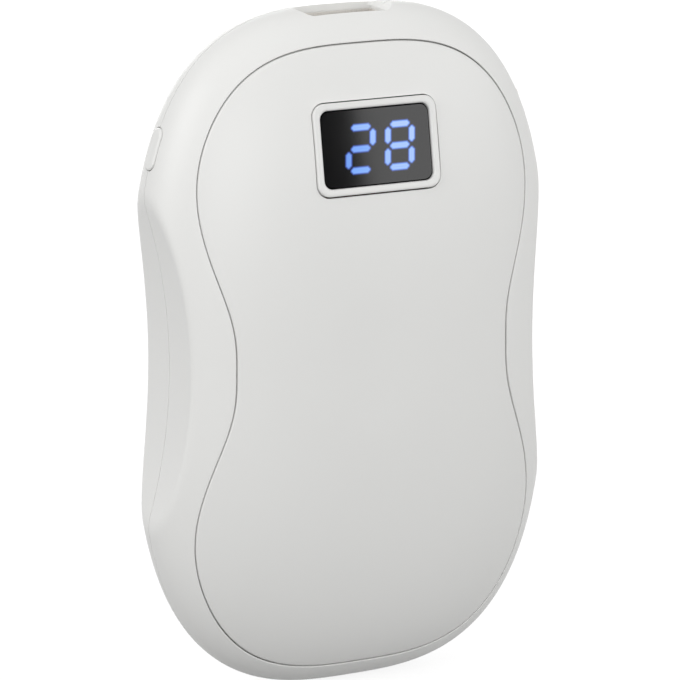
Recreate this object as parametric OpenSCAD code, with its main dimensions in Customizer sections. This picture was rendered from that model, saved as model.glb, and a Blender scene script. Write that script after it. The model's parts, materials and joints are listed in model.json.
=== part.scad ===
// Rechargeable hand warmer: an oval body with a scooped waist, an hourglass
// heating panel on each face, a two-digit display, a side button, an output
// socket in the top end and a charging socket in the side.
// X is the width, Y the depth with the display facing -Y, Z the height.
// The origin is the middle of the body.

/* [Body] */
// Width across the body where it has no scoop
body_w = 70.6; // [66:0.1:76]
// Height from the bottom to the top end
body_h = 110.2; // [106:0.1:116]
// Thickness through the middle
body_t = 28.8; // [28:0.2:32]
// How square the outline is, as the exponent of a superellipse
body_square_share = 2.93; // [2.6:0.02:3.3]
// How long the face stays flat before it rounds off
dome_flat_share = 2.5; // [2.4:0.02:4]
// How full the rounded edge is
dome_full_share = 2.26; // [2.1:0.02:2.4]
// Wall thickness of the two shells
wall = 2; // [1.6:0.1:2.2]
// How much narrower than the body the waist is between the two side scoops
waist_loss = 11; // [9:0.1:13]
// Height of the waist above the body's middle
waist_rise = 0.9; // [0:0.1:1.5]
// Radius of each side scoop, as a share of the body's height
scoop_share = 0.79; // [0.7:0.01:1]
// Softness of the scoop's edge
scoop_soft = 0.8; // [0.5:0.1:2]
// Width of the parting line
parting_gap = 0.3; // [0.2:0.05:0.5]

/* [Heating panels] */
// How much narrower a panel is than the body, before its waist is taken in
panel_side_loss = 8.7; // [8.2:0.1:10]
// How much shorter a panel is than the body
panel_end_loss = 9.5; // [9:0.1:12]
// How square the panel outline is
panel_square_share = 3.13; // [2.8:0.02:3.3]
// How much of its width the panel loses at the waist
panel_waist_share = 0.248; // [0.2:0.001:0.28]
// Height over which that waist fades out, as a share of the body's height
waist_span_share = 0.191; // [0.18:0.001:0.21]
// How flat the waist is in its middle
waist_flat_share = 3.08; // [2:0.02:3.4]
// How much wider the panel gets towards the bottom
panel_pear_share = 0.012; // [0:0.001:0.015]
// Thickness of a panel
panel_t = 1.6; // [1.3:0.1:1.8]
// Seam between a panel and its shell
panel_gap = 0.3; // [0.2:0.05:0.4]
// Rounding of a panel's rim
panel_rim_r = 0.35; // [0.2:0.05:0.5]
// Depth of the small flat in the middle of each panel, on which the body rests
panel_flat = 0.1; // [0.05:0.01:0.12]
// Width of the ledge that carries a panel
ledge_w = 3.5; // [3:0.1:4.2]
// Thickness of that ledge
ledge_t = 1.5; // [1.2:0.1:1.8]

/* [Display] */
// Distance from the top end down to the display's middle
display_drop = 20.7; // [20:0.1:22]
// How far the display sits to the right of the body's middle
display_side = 0.5; // [0:0.1:0.8]
// Width of the ring round the window
bezel_w = 21; // [20:0.1:22]
// Height of that ring
bezel_h = 14.4; // [13.5:0.1:15]
// Corner radius of the ring
bezel_r = 2; // [1.5:0.1:2.5]
// Width of the ring's band
bezel_band = 1.15; // [0.9:0.05:1.3]
// How far the ring stands proud of the panel
bezel_proud = 0.15; // [0:0.05:0.3]
// How far the window lies below the ring
lens_recess = 0.4; // [0.2:0.05:0.6]
// Thickness of the window
lens_t = 1.2; // [1:0.1:1.4]
// Height of a digit
digit_h = 7.6; // [7.5:0.1:8.6]
// Width of a digit
digit_w = 5.1; // [4.8:0.1:5.4]
// Distance between the two digits
digit_pitch = 6.7; // [6.4:0.1:7]
// Width of a lit segment
segment_w = 1; // [0.9:0.05:1.3]
// How far the digits sit to the right of the window's middle
digit_shift = 0.6; // [0:0.1:0.8]
// Shift of both digits below the middle of the window
digit_drop = 0.2; // [0:0.05:0.4]
// Lean of the digits to the right, in degrees
digit_lean = 5; // [0:1:10]

/* [Power button] */
// Distance from the top end down to the button's middle
button_drop = 20.5; // [20:0.25:21.5]
// Length of the button along the side
button_l = 6.4; // [6:0.1:8]
// Width of the button through the thickness
button_w = 3.1; // [2.8:0.1:4.6]
// How far the button stands proud of the side
button_proud = 0.2; // [0.15:0.05:0.6]
// Clearance round the button in the shells
button_gap = 0.15; // [0.12:0.01:0.25]

/* [Sockets] */
// Width of the output socket's opening
usb_a_open_w = 12.5; // [12.5:0.1:12.8]
// Height of the output socket's opening
usb_a_open_h = 5.12; // [5.1:0.02:5.3]
// Length of the output socket
usb_a_l = 13.6; // [13:0.1:14]
// Depth of the output socket's mouth below the top end
usb_a_sink = 1.8; // [1.2:0.1:1.8]
// Width of the charging socket's opening
usb_c_open_w = 8.34; // [8.34:0.02:8.6]
// Height of the charging socket's opening
usb_c_open_h = 2.56; // [2.56:0.02:2.7]
// Length of the charging socket
usb_c_l = 7.3; // [7:0.1:7.6]
// Depth of the charging socket's mouth below the side
usb_c_sink = 1.1; // [0.9:0.1:1.4]
// Clearance round each socket in the shells
socket_gap = 0.15; // [0.1:0.05:0.2]

/* [Circuit board] */
// Room beside the board where the side parts sit, between it and the body's widest part
board_side_room = 9.8; // [9.3:0.1:10.3]
// Thickness of the board
board_t = 1.2; // [1:0.1:1.6]
// Distance from the top end down to the board's lower edge
board_drop = 31; // [30.5:0.25:31.5]

/* [Battery and heaters] */
// Room beside the battery cell up to the body's widest part
cell_side_room = 15.8; // [15:0.1:18]
// Room above the battery cell for its seal, tabs and leads
cell_top_room = 6.5; // [6:0.5:12]
// Thickness of the battery cell
cell_t = 9.6; // [8:0.1:9.8]
// Distance from the bottom end up to the cell's lower end
cell_rise = 17.5; // [17:0.25:20]
// Thickness of a heat spreader plate
plate_t = 0.6; // [0.5:0.1:0.7]
// Thickness of a heater film
film_t = 0.25; // [0.2:0.05:0.3]

/* [Screws] */
// Diameter of the shell screws' thread
screw_d = 2; // [1.8:0.1:2.2]
// Diameter of the shell screws' head
screw_head_d = 3.6; // [3.4:0.1:3.8]
// Distance of the shell screws in from the body's widest part
screw_side_room = 15.8; // [15.3:0.1:16.2]
// Distance of the shell screws in from the body's ends
screw_end_room = 12; // [11.8:0.1:12.5]

/* [Hidden] */
$fn = 32;

// How far cuts run past the faces they go through
over = 1;
// Glue or air between two pieces that lie on each other
seat_gap = 0.12;
// Paste between a panel and the plate behind it
paste_gap = 0.2;
// Facets round the body, and round the plainer pieces inside
around = 96;
around_inside = 48;

// Waist, scoops and panel outline
waist_span = body_h * waist_span_share;
waist_w = body_w - waist_loss;
scoop_r = body_h * scoop_share;
panel_w = body_w - panel_side_loss;
panel_h = body_h - panel_end_loss;

// Places of the main pieces, from the body's middle
display_z = body_h / 2 - display_drop;
button_z = body_h / 2 - button_drop;
board_z = body_h / 2 - board_drop;
board_w = body_w - 2 * board_side_room;
cell_drop = body_h / 2 - cell_rise;
cell_w = body_w - 2 * cell_side_room;
cell_h = board_z - cell_top_room + cell_drop;
screw_x = body_w / 2 - screw_side_room;
screw_z = body_h / 2 - screw_end_room;

// Rings of each formed surface, as shares of the way from one edge to the other
skin_shares = [0.03, 0.15, 0.28, 0.43, 0.59, 0.74, 0.88];
panel_shares = [0.2, 0.42, 0.62, 0.78, 0.9, 0.965];
sheet_shares = [0.35, 0.55, 0.68, 0.78, 0.87, 0.94, 1];
foam_shares = [0.3, 0.6, 0.85, 1];
hollow_shares = [0, 0.35, 0.7, 1];
parting_bevel = parting_gap / 2;

// Window and its frame, in the plane of the panel at the display
lens_w = bezel_w - 2 * bezel_band;
lens_h = bezel_h - 2 * bezel_band;
lens_r = bezel_r - bezel_band / 2;
lens_y = lens_recess - bezel_proud;
pocket_l = 3 * panel_t;
display_depth = dome_at(0, display_z);
display_tilt = atan2(dome_at(0, display_z - over) - dome_at(0, display_z + over), 2 * over);

// Segments of a digit, each between two of its corners or middle ends
segment_end = 0.3;
digit_x = (digit_w - segment_w) / 2;
digit_z = (digit_h - segment_w) / 2;
segment_shares = [
  [[-1, 1], [1, 1]], [[1, 1], [1, 0]], [[1, 0], [1, -1]], [[1, -1], [-1, -1]],
  [[-1, -1], [-1, 0]], [[-1, 0], [-1, 1]], [[-1, 0], [1, 0]]
];
tens_lit = [0, 1, 3, 4, 6];
units_lit = [0, 1, 2, 3, 4, 5, 6];

// Display module, the small board that carries it and the posts under the board
module_w = 16.4;
module_h = 10.6;
module_l = 5;
module_y = seat_gap - display_depth + (lens_recess - bezel_proud + lens_t) * cos(display_tilt)
  + lens_h / 2 * sin(display_tilt);
display_board_w = 28;
display_board_h = 12;
display_board_t = 1;
display_board_y = module_y + module_l;
post_inset = 2;
post_x = display_board_w / 2 - post_inset;
post_d = 3.4;
post_screw_d = 1.6;
post_screw_l = 3;
post_head_d = 2.8;
post_head_h = 0.9;
header_w = 10.2;
header_h = 2.5;
header_drop = 2;

// Main board, behind the sockets that stand on it
socket_sheet = 0.3;
socket_lift = 0.35;
board_y = usb_a_open_h / 2 + socket_sheet + socket_lift;
board_back = board_y + board_t;
board_side_h = 14.5;
board_neck_w = 32;
board_neck_h = 17;
board_top_w = 20;
board_h = 25;
board_screw_inset = 2.1;
board_screw_x = board_w / 2 - board_screw_inset;
board_screw_rise = 2.6;
board_boss_d = 4.6;
board_rib_w = 2;
board_rib_l = 4.4;
board_boss_depth = outer_dome(board_screw_x, board_z + board_screw_rise, board_boss_d)
  - panel_t - ledge_t - seat_gap;

// Output socket
usb_a_w = usb_a_open_w + 2 * socket_sheet;
usb_a_h = usb_a_open_h + 2 * socket_sheet;
usb_a_mouth = body_h / 2 - usb_a_sink;
usb_a_lead_in_x = 1.6;
usb_a_rim_front = 0.9;
usb_a_rim_back = 0.15;
usb_a_root_l = 2.6;
tongue_a_w = 11.1;
tongue_a_t = 1.84;
tongue_a_y = -0.5;
tongue_a_sink = 1;
contact_a_w = 1;
contact_a_t = 0.15;
contact_a_room = 1.5;
contact_a_l = usb_a_l - usb_a_root_l - 2 * tongue_a_sink - contact_a_room;
contact_a_pitch = 2.25;
contacts_a = 4;
finger_w = 1.6;
finger_l = 5;
finger_slit = 0.3;
finger_x = 3.4;
finger_drop = 2.2;

// Charging socket
usb_c_w = usb_c_open_w + 2 * socket_sheet;
usb_c_h = usb_c_open_h + 2 * socket_sheet;
usb_c_mouth = side_x(button_z) - usb_c_sink;
usb_c_root_l = 2;
tongue_c_w = 6.7;
tongue_c_t = 0.7;
tongue_c_sink = 0.8;

// Button, with its flange inside the wall and its stem on the switch
button_r = 1.3;
button_tilt = atan2(side_x(button_z - over) - side_x(button_z + over), 2 * over);
flange_lip = 0.7;
flange_t = 0.8;
flange_gap = 0.4;
flange_x = side_x(button_z + button_l / 2 + flange_lip) - wall - flange_gap;
stem_d = 2.4;
switch_l = 6;
switch_t = 3.4;
switch_reach = 1.9;
switch_w = board_y + switch_reach;
switch_inset = 0.9;
switch_x = board_w / 2 - switch_inset;
plunger_l = 2.6;
plunger_w = 1.6;
plunger_out = 1.1;
plunger_in = 1.9;
plunger_gap = 0.1;
travel_room = 0.6;

// Battery
cell_r = 2;
cell_top = cell_h - cell_drop;
cell_seal_inset = 2.5;
cell_seal_w = cell_w - 2 * cell_seal_inset;
cell_seal_h = 2.2;
cell_seal_t = 0.8;
tab_w = 5;
tab_h = 3.4;
tab_t = 0.25;
tab_x = 9;
guard_w = 26;
guard_h = 3;
guard_t = 0.8;
guard_y = 0.6;
guard_lift = 1;
guard_z = cell_top + guard_lift;
lead_d = 1.2;
lead_x = 2.4;
lead_rise = 4.5;
lead_top = board_z + lead_rise;

// Heaters
sheet_clear = 0.4;
sheet_inset = ledge_w + sheet_clear;
foam_clear = 1.6;
foam_inset = ledge_w + foam_clear;
plate_drop = panel_t + paste_gap;
film_drop = plate_drop + plate_t + seat_gap;
foam_drop = film_drop + film_t + seat_gap;
foam_y = -cell_t / 2 - seat_gap;
front_sheet_rise = 0.5;
front_sheet_top = board_z + front_sheet_rise;
foam_stop = 3;
foam_top = board_z - foam_stop;
heater_lead_d = 0.9;
heater_lead_x = 7;
heater_lead_drop = 1.1;
heater_lead_z = board_z - heater_lead_drop;
heater_lead_rise = 2.6;
heater_lead_top = board_z + heater_lead_rise;
back_lead_rise = 2;
back_lead_z = board_z + back_lead_rise;
back_lead_x = 8;
bead_d = 1.7;
bead_x = -19.5;
bead_lead_d = 0.5;
bead_lead_pitch = 1;

// Parts on the board
chip_size = [9, 1.5, 6];
chip_at = [-13, 5.5];
chip_pin_w = 0.4;
chip_pin_l = 0.9;
chip_pin_pitch = 1.1;
chip_pins = 7;
inductor_size = [6.6, 3, 6.6];
inductor_at = [14, 7];
inductor_r = 1.2;
capacitor_d = 5;
capacitor_l = 5.2;
capacitor_foot = 0.8;
capacitor_at = [[-13, 13], [14, 14.2]];

// Screws
boss_wall = 0.8;
boss_d = screw_head_d + 2 * boss_wall;
screw_floor = 1.3;
screw_head_h = 1.2;
screw_end_gap = 0.4;
ledge_depth = outer_dome(screw_x, screw_z, boss_d) - panel_t - seat_gap;
screw_seat = ledge_depth - screw_head_h - seat_gap;
recess_share = 0.55;
slot_share = 0.16;
rim_share = 0.1;
board_screw_l = 4;

// Outlines in polar form, as distances from the middle in direction th
function superellipse(a, b, n, th) =
  pow(pow(abs(cos(th)) / a, n) + pow(abs(sin(th)) / b, n), -1 / n);

function body_r(th) = superellipse(body_w / 2, body_h / 2, body_square_share, th);

function panel_r(th) =
  let (r = superellipse(panel_w / 2, panel_h / 2, panel_square_share, th) * (1 - panel_pear_share * sin(th)),
       waist = exp(-pow(abs(r * sin(th) - waist_rise) / waist_span, waist_flat_share)))
  r * (1 - panel_waist_share * waist);

// Half thickness of the body at distance r from the middle in direction th
function dome(th, r) =
  let (rho = min(1, r / body_r(th)))
  body_t / 2 * pow(1 - pow(rho, dome_flat_share), 1 / dome_full_share);

// The same at a place in the XZ plane
function dome_at(x, z) = dome(atan2(z, x), norm([x, z]));

// The same at the far side of a round boss that stands there
function outer_dome(x, z, d) = dome(atan2(z, x), norm([x, z]) + d / 2);

// Width from the middle to the body's side at height z, away from the scoops
function side_x(z) =
  body_w / 2 * pow(1 - pow(2 * z / body_h, body_square_share), 1 / body_square_share);

// Width from the middle to the scoop at height z
function scoop_x(z) = waist_w / 2 + scoop_r - sqrt(pow(scoop_r, 2) - pow(z - waist_rise, 2));

// Smaller of two values, blended where they come within k of each other
function soft_min(a, b, k) =
  let (h = max(k - abs(a - b), 0))
  min(a, b) - h * h / (4 * k);

// Draws a point in where a side scoop crosses it
function scooped(p, inset) =
  [sign(p[0]) * soft_min(abs(p[0]), scoop_x(p[2]) - inset, scoop_soft), p[1], p[2]];

// Point at distance r in direction th, a drop below the front face
function face_point(th, r, drop) = [r * cos(th), drop - dome(th, r), r * sin(th)];

function directions(n) = [for (i = [0 : n - 1]) 360 * i / n];

// Ring of a shell's outer skin, from the parting plane at 0 to the seam at 1
function skin_ring(share) = [for (th = directions(around))
  let (seam = (panel_r(th) + panel_gap) / body_r(th),
       rho = sin(90 - share * (90 - asin(seam))))
  scooped(face_point(th, rho * body_r(th), 0), 0)];

// Ring at the parting plane, drawn in by the bevel along the parting line
function parting_ring() = [for (th = directions(around))
  let (r = body_r(th) - parting_bevel)
  scooped([r * cos(th), 0, r * sin(th)], parting_bevel)];

// Ring at a distance out from the panel's edge and a drop below its face
function edge_ring(out, drop, n = around) = [for (th = directions(n))
  face_point(th, panel_r(th) + out, drop)];

// Ring of a panel or sheet at a share of the way to its edge
function sheet_ring(inset, share, drop, n = around) = [for (th = directions(n))
  face_point(th, (panel_r(th) - inset) * share, drop)];

// Ring of the hollow's wall, from the ledge at 0 to the parting plane at 1
function hollow_ring(share) = [for (th = directions(around))
  let (r = panel_r(th) + (body_r(th) - wall - panel_r(th)) * sin(90 * share),
       y = -(dome(th, panel_r(th)) - panel_t - ledge_t) * cos(90 * share))
  scooped([r * cos(th), y, r * sin(th)], wall)];

function flat_ring(ring, y) = [for (p = ring) [p[0], y, p[2]]];

// Cuts the middle of a panel's dome down to the small flat
function flattened(ring) = [for (p = ring) [p[0], max(p[1], panel_flat - body_t / 2), p[2]]];

function reversed(list) = [for (i = [len(list) - 1 : -1 : 0]) list[i]];

// Two triangles for each place in a grid of rings, i to k and j to the next
function strip(i, k, n) = [for (j = [0 : n - 1])
  let (a = i * n + j, b = i * n + (j + 1) % n, c = k * n + (j + 1) % n, d = k * n + j)
  each [[a, b, c], [a, c, d]]];

// Joins rings of points round a section, the last ring to the first
module ring_body(rings) {
  n = len(rings[0]);
  m = len(rings);
  polyhedron(
    points = [for (ring = rings) each ring],
    faces = [for (i = [0 : m - 1]) each strip(i, (i + 1) % m, n)]
  );
}

// Joins rings of points from a middle point on one face to one on the other
module sheet_body(rings, first_mid, last_mid) {
  n = len(rings[0]);
  m = len(rings);
  polyhedron(
    points = [for (ring = rings) each ring, first_mid, last_mid],
    faces = [
      for (j = [0 : n - 1]) [m * n, (j + 1) % n, j],
      for (i = [0 : m - 2]) each strip(i, i + 1, n),
      for (j = [0 : n - 1]) [m * n + 1, (m - 1) * n + j, (m - 1) * n + (j + 1) % n]
    ]
  );
}

// Rounded rectangle made of straight sides and true arcs
module rounded(w, h, r) {
  if (w > 2 * r) square([w - 2 * r, h], center = true);
  if (h > 2 * r) square([w, h - 2 * r], center = true);
  for (x = [-1, 1], y = [-1, 1]) translate([x * (w / 2 - r), y * (h / 2 - r)]) circle(r);
}

// Rounded plate in the XZ plane, round bar and plain block, each from one depth to another
module plate_y(w, h, r, from, to) {
  translate([0, to, 0]) rotate([90, 0, 0]) linear_extrude(to - from) rounded(w, h, r);
}

module bar_y(d, from, to) {
  translate([0, from, 0]) rotate([-90, 0, 0]) cylinder(d = d, h = to - from);
}

module block(w, h, from, to) {
  translate([-w / 2, from, -h / 2]) cube([w, to - from, h]);
}

// Places for repeated parts
module at_shell_screws() {
  for (sx = [-1, 1], sz = [-1, 1]) translate([sx * screw_x, 0, sz * screw_z]) children();
}

module at_board_screws() {
  for (sx = [-1, 1]) translate([sx * board_screw_x, 0, board_z + board_screw_rise]) children();
}

module at_posts() {
  for (sx = [-1, 1]) translate([display_side + sx * post_x, 0, display_z]) children();
}

module at_display() {
  translate([display_side, -display_depth, display_z]) rotate([-display_tilt, 0, 0]) children();
}

// Outer contour of each socket and of the button, lying across their axes
module usb_a_bar(w, h, from, to) {
  translate([-w / 2, -h / 2, from]) cube([w, h, to - from]);
}

module usb_c_bar(w, h, from, to) {
  translate([from, 0, button_z]) rotate([90, 0, 90]) linear_extrude(to - from) rounded(h, w, h / 2);
}

module button_bar(grow, from, to) {
  translate([-to, 0, button_z]) rotate([90, 0, 90]) linear_extrude(to - from)
    rounded(button_w + 2 * grow, button_l + 2 * grow, button_r + grow);
}

module shell_openings() {
  usb_a_bar(usb_a_w + 2 * socket_gap, usb_a_h + 2 * socket_gap, usb_a_mouth - usb_a_l, body_h);
  translate([0, (usb_a_rim_back - usb_a_rim_front) / 2, 0]) hull()
    for (step = [[usb_a_w, usb_a_mouth], [usb_a_open_w + 2 * usb_a_lead_in_x, body_h / 2]])
      usb_a_bar(step[0], usb_a_h + usb_a_rim_front + usb_a_rim_back, step[1], step[1] + over);
  usb_c_bar(usb_c_w + 2 * socket_gap, usb_c_h + 2 * socket_gap, usb_c_mouth - usb_c_l, body_w);
  button_bar(button_gap, flange_x - over, body_w);
}

// One half of the housing, with the ledge that carries its panel
module shell_ring() {
  ring_body([
    for (s = reversed(hollow_shares)) hollow_ring(s),
    edge_ring(-ledge_w, panel_t + ledge_t),
    edge_ring(-ledge_w, panel_t + seat_gap),
    edge_ring(panel_gap, panel_t + seat_gap),
    skin_ring(1),
    for (s = reversed(skin_shares)) skin_ring(s),
    parting_ring()
  ]);
}

module front_shell() color("#e9e8e4") difference() {
  union() {
    shell_ring();
    at_shell_screws() bar_y(boss_d, -ledge_depth, 0);
  }
  at_shell_screws() bar_y(screw_d + seat_gap, -ledge_depth + screw_floor, over);
  shell_openings();
}

module back_shell() color("#e9e8e4") difference() {
  union() {
    mirror([0, 1, 0]) shell_ring();
    at_shell_screws() bar_y(boss_d, 0, ledge_depth);
    at_board_screws() bar_y(board_boss_d, board_back, board_boss_depth);
    for (sx = [-1, 1]) translate([sx * board_screw_x, 0, board_z + board_screw_rise])
      rotate([0, -sx * atan2(board_z + board_screw_rise, board_screw_x), 0])
        translate([sx * board_rib_l / 2, 0, 0])
          block(board_rib_l, board_rib_w, board_back, board_boss_depth);
  }
  at_shell_screws() bar_y(screw_d + 2 * seat_gap, -over, ledge_depth);
  at_shell_screws() bar_y(screw_head_d + 2 * seat_gap, screw_seat, body_t / 2);
  at_board_screws() bar_y(screw_d + seat_gap, board_back - over, board_boss_depth - screw_end_gap);
  shell_openings();
}

// Hourglass face with a rounded rim
module panel_body() {
  sheet_body([
    for (s = panel_shares) flattened(sheet_ring(0, s, 0)),
    edge_ring(-panel_rim_r, panel_rim_r * rim_share),
    edge_ring(0, panel_rim_r),
    for (s = reversed(sheet_shares)) sheet_ring(0, s, panel_t)
  ], [0, panel_flat - body_t / 2, 0], [0, panel_t - body_t / 2, 0]);
}

module front_panel() color("#e4e3df") difference() {
  union() {
    panel_body();
    at_posts() bar_y(post_d, panel_t / 2 - dome_at(post_x + display_side, display_z), display_board_y);
  }
  at_display()
    plate_y(bezel_w + 2 * seat_gap, bezel_h + 2 * seat_gap, bezel_r + seat_gap, -over, pocket_l);
  at_posts() bar_y(post_screw_d + seat_gap, display_board_y - post_screw_l, display_board_y + over);
}

module back_panel() color("#e4e3df") mirror([0, 1, 0]) panel_body();

module display_bezel() color("#eeeeec") at_display() difference() {
  plate_y(bezel_w, bezel_h, bezel_r, -bezel_proud, panel_t);
  plate_y(lens_w, lens_h, lens_r, -bezel_proud - over, panel_t + over);
}

// One segment of a digit: a bar with pointed ends, leaning with the digit
function lean(p) = [p[0] + p[1] * tan(digit_lean), p[1]];

module segment(from, to) {
  along = (to - from) / norm(to - from);
  across = [-along[1], along[0]] * segment_w / 2;
  a = from + along * segment_end;
  b = to - along * segment_end;
  tip = along * segment_w / 2;
  polygon([for (p = [a, a + tip + across, b - tip + across, b, b - tip - across, a + tip - across])
    lean(p)]);
}

module digit(lit) {
  for (i = lit) let (ends = segment_shares[i])
    segment([ends[0][0] * digit_x, ends[0][1] * digit_z], [ends[1][0] * digit_x, ends[1][1] * digit_z]);
}

module lit_windows(from, to) {
  for (side = [[-1, tens_lit], [1, units_lit]])
    translate([side[0] * digit_pitch / 2 + digit_shift, to, -digit_drop]) rotate([90, 0, 0])
      linear_extrude(to - from) digit(side[1]);
}

module display_lens() color("#15171c") at_display() difference() {
  plate_y(lens_w - seat_gap, lens_h - seat_gap, lens_r, lens_y, lens_y + lens_t);
  lit_windows(lens_y - over, lens_y + lens_t + over);
}

module display_digits() color("#8fb2ff") at_display() lit_windows(lens_y, lens_y + lens_t);

module display_module() color("#2a2a2c") translate([display_side, 0, display_z])
  plate_y(module_w, module_h, cell_r / 2, module_y, display_board_y);

module display_board() color("#1f5a3a") difference() {
  translate([display_side, 0, display_z]) plate_y(display_board_w, display_board_h, post_d / 2,
    display_board_y, display_board_y + display_board_t);
  at_posts()
    bar_y(post_screw_d + 2 * seat_gap, display_board_y - over, display_board_y + display_board_t + over);
}

module display_header() color("#222222") translate([display_side, 0, display_z - header_drop])
  block(header_w, header_h, display_board_y + display_board_t, board_y);

// Pan head screw along Y, its head facing the given way from the seat
module screw(d, head_d, head_h, seat, end) {
  way = sign(seat - end);
  translate([0, seat, 0]) rotate([-90 * way, 0, 0]) difference() {
    union() {
      cylinder(d = head_d, h = head_h);
      translate([0, 0, -abs(seat - end)]) cylinder(d = d, h = abs(seat - end));
    }
    for (turn = [0, 90]) rotate([0, 0, turn])
      translate([-head_d * recess_share / 2, -head_d * slot_share / 2, head_h / 2])
        cube([head_d * recess_share, head_d * slot_share, head_h]);
  }
}

module display_screws() color("#b8b9bb") at_posts() screw(post_screw_d, post_head_d, post_head_h,
  display_board_y + display_board_t, display_board_y - post_screw_l + screw_end_gap);

module shell_screws() color("#b8b9bb") at_shell_screws() screw(screw_d, screw_head_d, screw_head_h,
  screw_seat, screw_floor + screw_end_gap - ledge_depth);

module board_screws() color("#b8b9bb") at_board_screws() screw(screw_d, screw_head_d, screw_head_h,
  board_y, board_boss_depth - 2 * screw_end_gap);

// Cap with a slanted face that follows the side, a flange inside the wall and a stem
module power_button() color("#ecebe7") union() {
  difference() {
    button_bar(0, flange_x - flange_t, body_w / 2 + over);
    translate([-side_x(button_z) - button_proud, 0, button_z]) rotate([0, button_tilt, 0])
      translate([-body_w, -body_w / 2, -body_w / 2]) cube(body_w);
  }
  button_bar(flange_lip, flange_x - flange_t, flange_x);
  translate([-flange_x, 0, button_z]) rotate([0, 90, 0])
    cylinder(d = stem_d, h = flange_x - switch_x - plunger_out - plunger_gap);
}

module switch_body() color("#2b2b2d") difference() {
  translate([-switch_x, board_y - switch_w, button_z - switch_l / 2]) cube([switch_t, switch_w, switch_l]);
  translate([-switch_x - over, -plunger_w / 2 - plunger_gap, button_z - plunger_l / 2 - plunger_gap])
    cube([over + plunger_in + travel_room, plunger_w + 2 * plunger_gap, plunger_l + 2 * plunger_gap]);
}

module switch_plunger() color("#d8d4c8")
  translate([-switch_x - plunger_out, -plunger_w / 2, button_z - plunger_l / 2])
    cube([plunger_out + plunger_in, plunger_w, plunger_l]);

// Folded steel shell with a spring finger cut free in each half of both broad sides
module usb_a_shell() color("#b9b6ae") difference() {
  usb_a_bar(usb_a_w, usb_a_h, usb_a_mouth - usb_a_l, usb_a_mouth);
  usb_a_bar(usb_a_open_w, usb_a_open_h, usb_a_mouth - usb_a_l - over, usb_a_mouth + over);
  for (sx = [-1, 1], sy = [-1, 1])
    translate([sx * finger_x, sy * usb_a_h / 2, usb_a_mouth - finger_drop - finger_l]) {
      for (side = [-1, 1]) translate([side * finger_w / 2 - finger_slit / 2, -over, 0])
        cube([finger_slit, 2 * over, finger_l]);
      translate([-finger_w / 2, -over, finger_l - finger_slit]) cube([finger_w, 2 * over, finger_slit]);
    }
}

module usb_a_tongue() color("#f2f2f0") union() {
  usb_a_bar(usb_a_open_w - seat_gap, usb_a_open_h - seat_gap, usb_a_mouth - usb_a_l,
    usb_a_mouth - usb_a_l + usb_a_root_l);
  translate([0, tongue_a_y, 0]) usb_a_bar(tongue_a_w, tongue_a_t, usb_a_mouth - usb_a_l,
    usb_a_mouth - tongue_a_sink);
}

module usb_a_contacts() color("#c9a24a") for (i = [0 : contacts_a - 1])
  translate([(i - (contacts_a - 1) / 2) * contact_a_pitch, tongue_a_y + tongue_a_t / 2 + contact_a_t / 2, 0])
    usb_a_bar(contact_a_w, contact_a_t, usb_a_mouth - 2 * tongue_a_sink - contact_a_l,
      usb_a_mouth - 2 * tongue_a_sink);

module usb_c_shell() color("#b9b6ae") difference() {
  usb_c_bar(usb_c_w, usb_c_h, usb_c_mouth - usb_c_l, usb_c_mouth);
  usb_c_bar(usb_c_open_w, usb_c_open_h, usb_c_mouth - usb_c_l - over, usb_c_mouth + over);
}

module usb_c_tongue() color("#1d1d1f") union() {
  usb_c_bar(usb_c_open_w - seat_gap, usb_c_open_h - seat_gap, usb_c_mouth - usb_c_l,
    usb_c_mouth - usb_c_l + usb_c_root_l);
  translate([usb_c_mouth - usb_c_l, -tongue_c_t / 2, button_z - tongue_c_w / 2])
    cube([usb_c_l - tongue_c_sink, tongue_c_t, tongue_c_w]);
}

module main_board() color("#1f5a3a") difference() {
  translate([0, board_back, board_z]) rotate([90, 0, 0]) linear_extrude(board_t) polygon([
    [-board_w / 2, 0], [board_w / 2, 0], [board_w / 2, board_side_h],
    [board_neck_w / 2, board_neck_h], [board_top_w / 2, board_h], [-board_top_w / 2, board_h],
    [-board_neck_w / 2, board_neck_h], [-board_w / 2, board_side_h]
  ]);
  at_board_screws() bar_y(screw_d + 2 * seat_gap, board_y - over, board_back + over);
}

module controller_chip() color("#1b1b1d") translate([chip_at[0], 0, board_z + chip_at[1]]) union() {
  block(chip_size[0], chip_size[2], board_y - chip_size[1], board_y - chip_pin_w / 2);
  for (i = [0 : chip_pins - 1], side = [-1, 1])
    translate([(i - (chip_pins - 1) / 2) * chip_pin_pitch, 0, side * chip_size[2] / 2])
      block(chip_pin_w, 2 * chip_pin_l, board_y - chip_pin_w, board_y);
}

module power_inductor() color("#3a3a3c") translate([inductor_at[0], 0, board_z + inductor_at[1]])
  plate_y(inductor_size[0], inductor_size[2], inductor_r, board_y - inductor_size[1], board_y);

module capacitors() color("#c3c4c6") for (at = capacitor_at) translate([at[0], 0, board_z + at[1]]) {
  bar_y(capacitor_d, board_y - capacitor_l, board_y - capacitor_foot);
  block(capacitor_d, capacitor_d, board_y - capacitor_foot, board_y);
}

module battery_cell() color("#c9cbce") union() {
  translate([0, 0, -cell_drop]) linear_extrude(cell_h) rounded(cell_w, cell_t, cell_r);
  translate([-cell_seal_w / 2, -cell_seal_t, cell_top]) cube([cell_seal_w, cell_seal_t, cell_seal_h]);
  for (sx = [-1, 1]) translate([sx * tab_x - tab_w / 2, -cell_seal_t / 2, cell_top])
    cube([tab_w, tab_t, tab_h]);
}

module battery_protection_board() color("#1f5a3a")
  translate([-guard_w / 2, guard_y, guard_z]) cube([guard_w, guard_t, guard_h]);

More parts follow.
